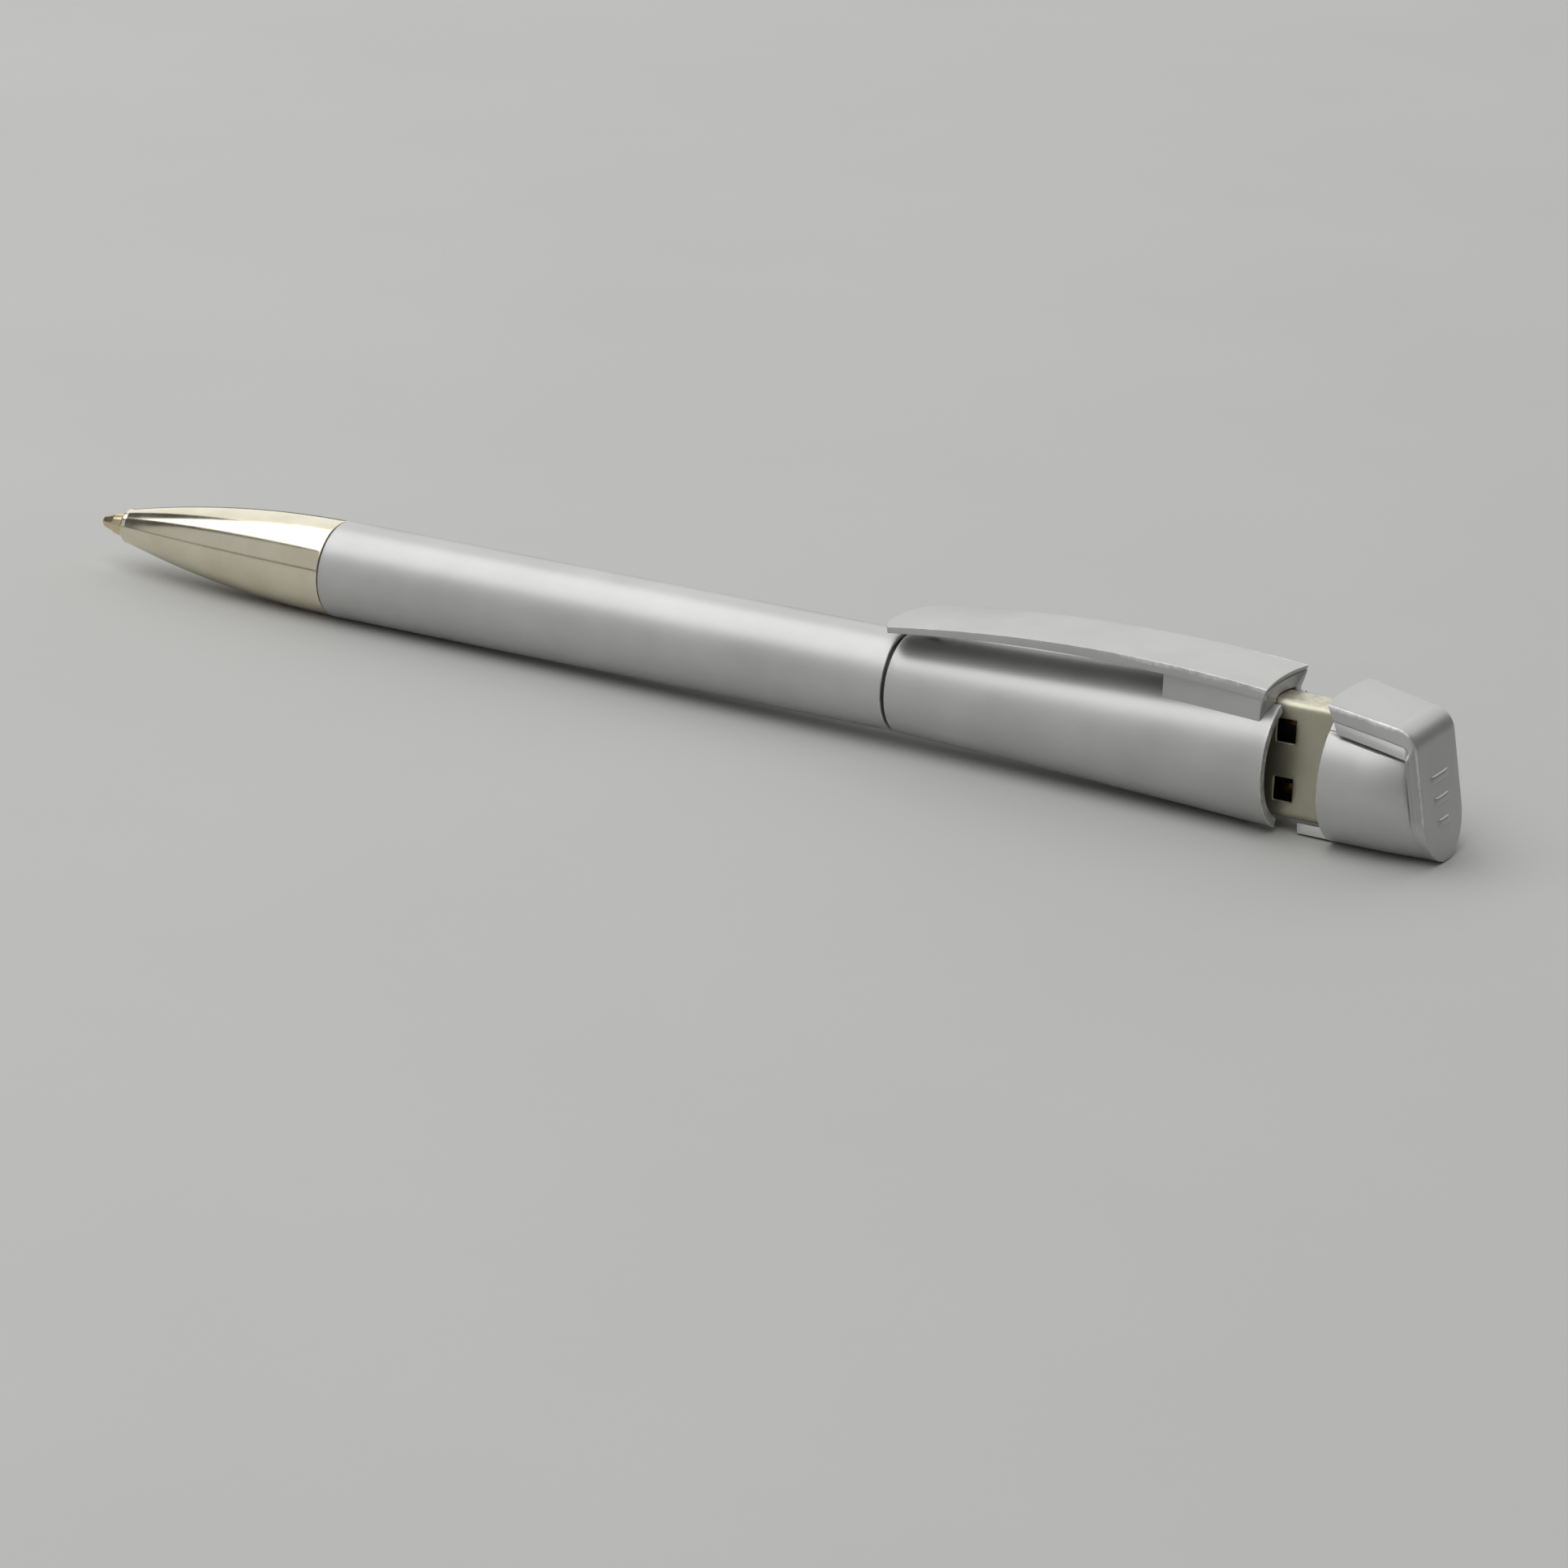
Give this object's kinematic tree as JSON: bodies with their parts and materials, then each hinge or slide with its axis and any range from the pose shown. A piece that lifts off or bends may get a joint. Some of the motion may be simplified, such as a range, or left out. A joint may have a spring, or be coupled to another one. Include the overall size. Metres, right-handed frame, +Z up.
{
  "type": "ballpoint pen with memory stick",
  "caption": "Twist ballpoint pen with a metal nose, a satin silver barrel, a sprung clip and a pull-out memory stick as its tail.",
  "frame": {"origin": "on the pen's axis, 3.4 mm in front of the twist joint, where a sleeve on the lower barrel ends", "axes": "+X along the pen's axis towards the memory stick, +Z up through the clip, -X towards the writing point"},
  "size_m": [0.1594, 0.014, 0.0161],
  "materials": {
    "champagne_chrome": "polished, champagne tint",
    "silver_paint": "satin silver lacquer",
    "black_plastic": "matt",
    "white_plastic": "moulded",
    "rubber": "matt",
    "spring_steel": "satin",
    "carbide": "polished",
    "tip_brass": "turned",
    "refill_steel": "drawn",
    "ink": "wet",
    "grease": "wet",
    "ivory_plastic": "moulded",
    "plug_steel": "plated, warm tint",
    "contact_gold": "plated",
    "board_green": "solder mask",
    "chip_black": "moulded",
    "crystal_can": "drawn",
    "ceramic_tan": "fired"
  },
  "bodies": {
    "lower_half": {"nose_cone": "champagne_chrome", "lower_barrel": "silver_paint", "joint_ring": "black_plastic", "guide_tube": "white_plastic", "friction_ring": "rubber", "retaining_ring": "spring_steel", "return_spring": "spring_steel"},
    "upper_half": {"upper_barrel": "silver_paint", "cam_sleeve": "ivory_plastic", "socket_liner": "black_plastic", "clip_foot": "silver_paint"},
    "refill": {"refill_tip": "tip_brass", "refill_tube": "refill_steel", "refill_ink": "ink", "ink_follower": "grease", "refill_end": "white_plastic", "thrust_plunger": "ivory_plastic"},
    "ball": {"refill_ball": "carbide"},
    "clip": {"clip_blade": "silver_paint"},
    "stick": {"plug_shell": "plug_steel", "plug_insulator": "black_plastic", "plug_contacts": "contact_gold", "circuit_board": "board_green", "memory_chip": "chip_black", "controller_chip": "chip_black", "clock_crystal": "crystal_can", "capacitors": "ceramic_tan", "board_carrier": "black_plastic", "cap_body": "silver_paint", "cap_band": "silver_paint", "end_mark": "silver_paint"}
  },
  "joints": [
    {"name": "barrel_twist", "type": "hinge", "parent": "lower_half", "child": "upper_half", "pos_m": [0.0034, 0, 0], "axis": [1, 0, 0], "range_deg": [0, 180]},
    {"name": "refill_slide", "type": "slide", "parent": "lower_half", "child": "refill", "axis": [1, 0, 0], "range_m": [0, 0.0045]},
    {"name": "ball_roll", "type": "hinge", "parent": "refill", "child": "ball", "pos_m": [-0.0955, 0, 0], "axis": [0, 1, 0], "continuous": true},
    {"name": "clip_flex", "type": "hinge", "parent": "upper_half", "child": "clip", "pos_m": [0.03403, 0, 0.00844], "axis": [0, 1, 0], "range_deg": [0, 5], "stiffness_Nm_per_rad": 1.2},
    {"name": "stick_slide", "type": "slide", "parent": "upper_half", "child": "stick", "axis": [1, 0, 0], "range_m": [-0.0059, 0.012]}
  ],
  "couplings": [
    {"joint": "refill_slide", "follows": "barrel_twist", "m_per_rad": 0.0014324}
  ]
}
